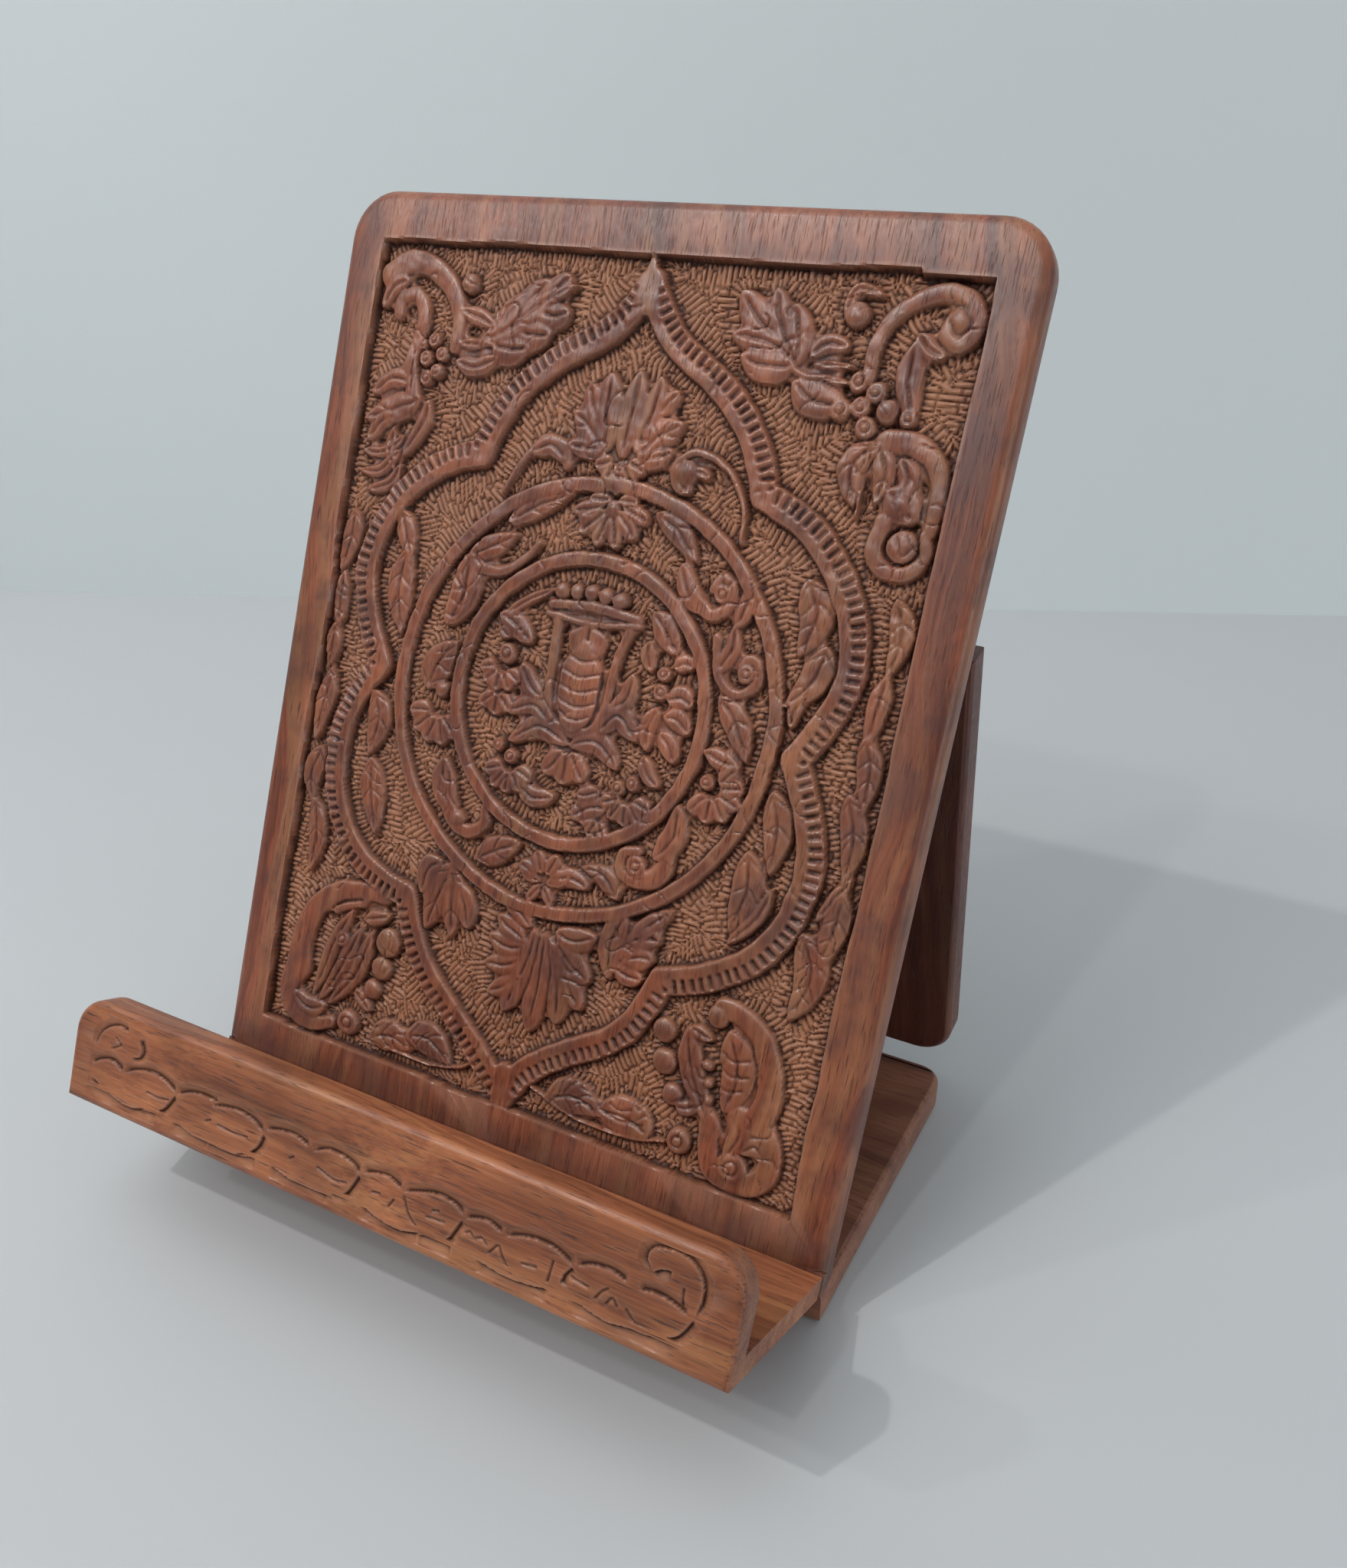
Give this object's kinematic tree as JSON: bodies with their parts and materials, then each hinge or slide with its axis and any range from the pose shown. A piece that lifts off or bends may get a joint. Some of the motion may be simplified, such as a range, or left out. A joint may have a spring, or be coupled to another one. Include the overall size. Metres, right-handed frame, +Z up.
{
  "type": "book stand",
  "caption": "Folding carved hardwood stand that leans a book or tablet back on a ledge with a lip, on a hinged base and rear leg.",
  "frame": {"origin": "centre of the bounding box at its lowest plane, on the table under the middle of the stand", "axes": "+Z up, +Y from the reader's side to the back, +X to the reader's right"},
  "size_m": [0.2, 0.1718, 0.2438],
  "materials": {
    "panel_wood": "oiled satin, carved field lighter than the border",
    "ledge_wood": "oiled satin",
    "base_wood": "oiled satin",
    "leg_wood": "oiled satin",
    "peg_wood": "bare turned wood",
    "hinge_brass": "dulled brass",
    "screw_brass": "dulled brass"
  },
  "bodies": {
    "easel": {"back_panel": "panel_wood", "ledge_shelf": "ledge_wood", "front_lip": "ledge_wood", "shelf_dowel_left": "peg_wood", "shelf_dowel_middle": "peg_wood", "shelf_dowel_right": "peg_wood", "lip_dowel_left": "peg_wood", "lip_dowel_middle": "peg_wood", "lip_dowel_right": "peg_wood", "base_hinge_left_panel_leaf": "hinge_brass", "base_hinge_left_pin": "hinge_brass", "base_hinge_left_panel_screw_1": "screw_brass", "base_hinge_left_panel_screw_2": "screw_brass", "base_hinge_right_panel_leaf": "hinge_brass", "base_hinge_right_pin": "hinge_brass", "base_hinge_right_panel_screw_1": "screw_brass", "base_hinge_right_panel_screw_2": "screw_brass", "leg_hinge_left_panel_leaf": "hinge_brass", "leg_hinge_left_pin": "hinge_brass", "leg_hinge_left_panel_screw_1": "screw_brass", "leg_hinge_left_panel_screw_2": "screw_brass", "leg_hinge_right_panel_leaf": "hinge_brass", "leg_hinge_right_pin": "hinge_brass", "leg_hinge_right_panel_screw_1": "screw_brass", "leg_hinge_right_panel_screw_2": "screw_brass"},
    "base": {"base_panel": "base_wood", "base_hinge_left_base_leaf": "hinge_brass", "base_hinge_left_base_screw_1": "screw_brass", "base_hinge_left_base_screw_2": "screw_brass", "base_hinge_right_base_leaf": "hinge_brass", "base_hinge_right_base_screw_1": "screw_brass", "base_hinge_right_base_screw_2": "screw_brass"},
    "leg": {"rear_leg": "leg_wood", "leg_hinge_left_leg_leaf": "hinge_brass", "leg_hinge_left_leg_screw_1": "screw_brass", "leg_hinge_left_leg_screw_2": "screw_brass", "leg_hinge_right_leg_leaf": "hinge_brass", "leg_hinge_right_leg_screw_1": "screw_brass", "leg_hinge_right_leg_screw_2": "screw_brass"}
  },
  "joints": [
    {"name": "base_fold", "type": "hinge", "parent": "easel", "child": "base", "pos_m": [0, -0.02158, 0.0131], "axis": [1, 0, 0], "range_deg": [0, 63]},
    {"name": "leg_swing", "type": "hinge", "parent": "easel", "child": "leg", "pos_m": [0, 0.042, 0.14346], "axis": [-1, 0, 0], "range_deg": [0, 22]}
  ]
}
